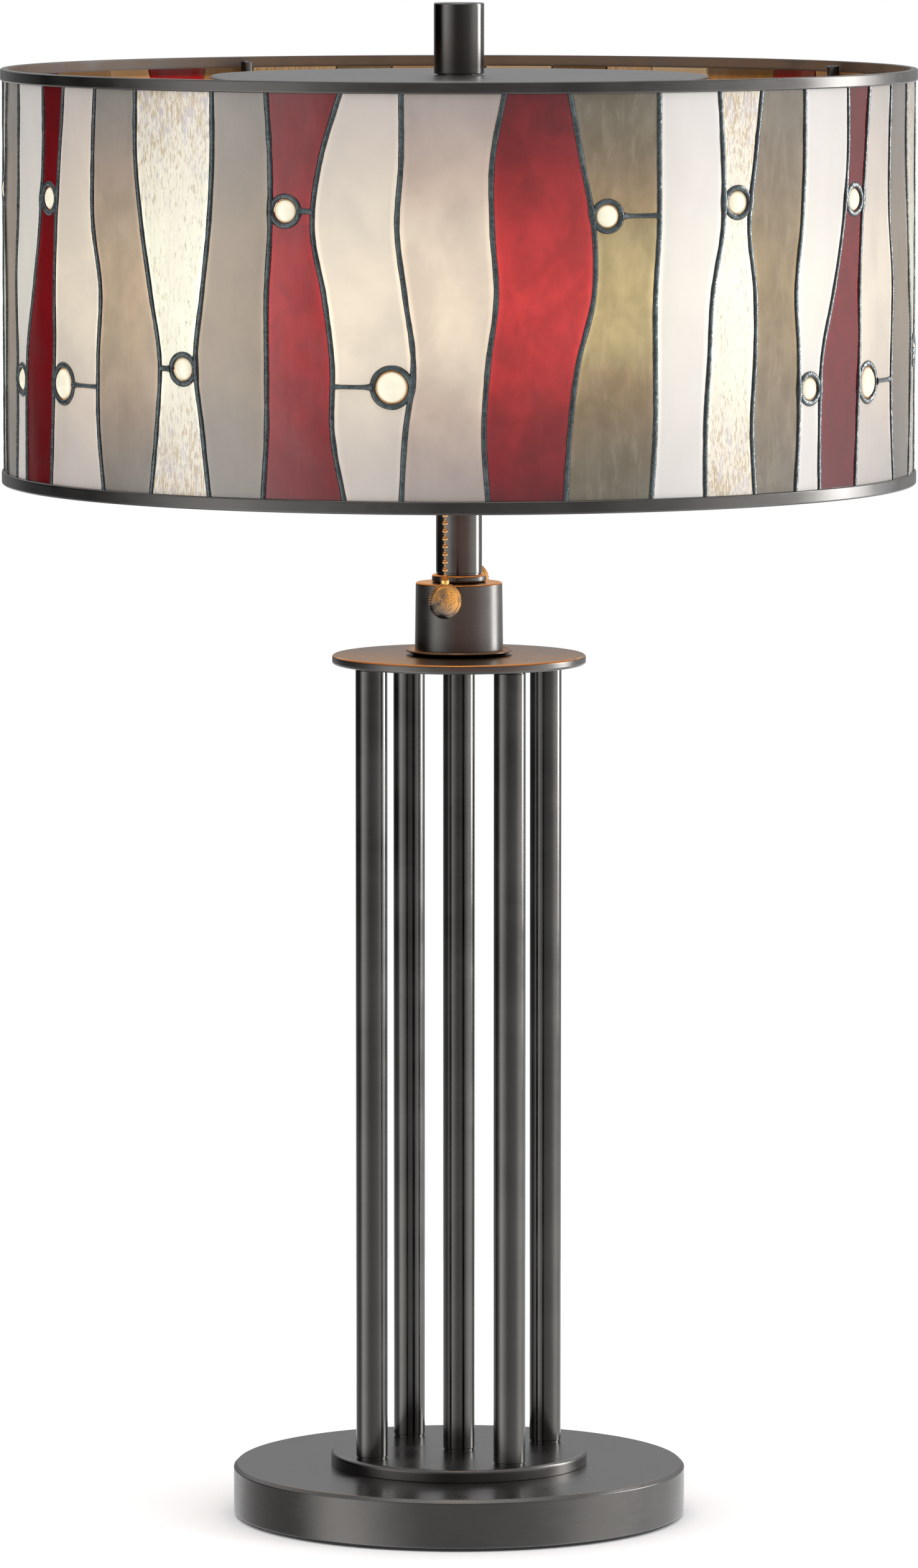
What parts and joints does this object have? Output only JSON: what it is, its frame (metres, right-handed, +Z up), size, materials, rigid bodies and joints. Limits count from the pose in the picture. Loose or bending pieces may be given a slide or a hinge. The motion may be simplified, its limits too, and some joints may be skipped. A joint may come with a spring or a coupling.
{
  "type": "table lamp",
  "caption": "Table lamp with a drum shade of leaded art glass on a round base, a column of slim rods, bead pull chains and a cylinder finial.",
  "frame": {"origin": "middle of the underside of the base, on the lamp's axis", "axes": "+Z up along the lamp's axis; the lamp's front faces -Y, and +X is to the right seen from the front"},
  "size_m": [0.3966, 0.3966, 0.6605],
  "materials": {
    "bronze": "dark oil-rubbed bronze, satin, copper rubbed through on the edges",
    "base_iron": "dark oil-rubbed bronze plate over cast iron, satin",
    "antique_brass": "antique brass, soft polish",
    "zinc_steel": "zinc plated steel",
    "lead_came": "soldered lead lines with a black patina",
    "felt": "black felt",
    "rubber": "black rubber",
    "bulb_glass": "frosted white, lit",
    "glass_red": "streaky red art glass",
    "glass_taupe": "wispy taupe art glass",
    "glass_grey": "wispy warm grey art glass",
    "glass_ivory": "opal ivory art glass",
    "glass_olive": "wispy olive art glass",
    "glass_clear": "clear rippled art glass and jewels",
    "glass_white": "opal white art glass"
  },
  "bodies": {
    "stand": {"felt_pad": "felt", "base_weight": "base_iron", "cord_bushing": "rubber", "base_washer": "zinc_steel", "base_nut": "zinc_steel", "step_disc": "bronze", "centre_tube": "bronze", "rod_1": "bronze", "rod_2": "bronze", "rod_3": "bronze", "rod_4": "bronze", "upper_plate": "bronze", "seat_ring": "bronze", "collar": "bronze", "check_ring": "bronze", "stem_tube": "bronze", "threaded_pipe": "zinc_steel", "cluster_body": "bronze", "socket_cap_1": "antique_brass", "socket_cap_2": "antique_brass", "socket_shell_1": "antique_brass", "socket_shell_2": "antique_brass", "riser_tube": "zinc_steel", "hub_nut": "zinc_steel"},
    "shade": {"spider": "bronze", "cap_disc": "bronze", "top_ring": "bronze", "bottom_ring": "bronze", "lead_lattice": "lead_came", "glass_panel_01": "glass_red", "glass_panel_02": "glass_taupe", "glass_panel_03": "glass_grey", "glass_panel_04": "glass_ivory", "glass_panel_05": "glass_olive", "glass_panel_06": "glass_clear", "glass_panel_07": "glass_white", "glass_panel_08": "glass_red", "glass_panel_09": "glass_taupe", "glass_panel_10": "glass_grey", "glass_panel_11": "glass_ivory", "glass_panel_12": "glass_olive", "glass_panel_13": "glass_clear", "glass_panel_14": "glass_white", "glass_panel_15": "glass_red", "glass_panel_16": "glass_taupe", "glass_panel_17": "glass_grey", "glass_panel_18": "glass_ivory", "glass_panel_19": "glass_olive", "glass_panel_20": "glass_clear", "glass_panel_21": "glass_white"},
    "finial": {"finial": "bronze", "finial_washer": "bronze"},
    "bulb_1": {"bulb_base_1": "zinc_steel", "bulb_glass_1": "bulb_glass"},
    "bulb_2": {"bulb_base_2": "zinc_steel", "bulb_glass_2": "bulb_glass"},
    "chain_1": {"pull_chain_1": "antique_brass", "pendant_1": "antique_brass"},
    "chain_2": {"pull_chain_2": "antique_brass", "pendant_2": "antique_brass"}
  },
  "joints": [
    {"name": "shade_turn", "type": "hinge", "parent": "stand", "child": "shade", "pos_m": [0, 0, 0.622], "axis": [0, 0, 1], "continuous": true},
    {"name": "finial_unscrew", "type": "hinge", "parent": "stand", "child": "finial", "pos_m": [0, 0, 0.645], "axis": [0, 0, 1], "continuous": true},
    {"name": "bulb_1_unscrew", "type": "hinge", "parent": "stand", "child": "bulb_1", "pos_m": [0, 0, 0.512], "axis": [-0.0982, -0.9345, 0.342], "continuous": true},
    {"name": "bulb_2_unscrew", "type": "hinge", "parent": "stand", "child": "bulb_2", "pos_m": [0, 0, 0.512], "axis": [0.0982, 0.9345, 0.342], "continuous": true},
    {"name": "chain_1_pull", "type": "slide", "parent": "stand", "child": "chain_1", "axis": [0, 0, -1], "range_m": [0, 0.008], "stiffness_N_per_m": 600},
    {"name": "chain_2_pull", "type": "slide", "parent": "stand", "child": "chain_2", "axis": [0, 0, -1], "range_m": [0, 0.008], "stiffness_N_per_m": 600}
  ]
}
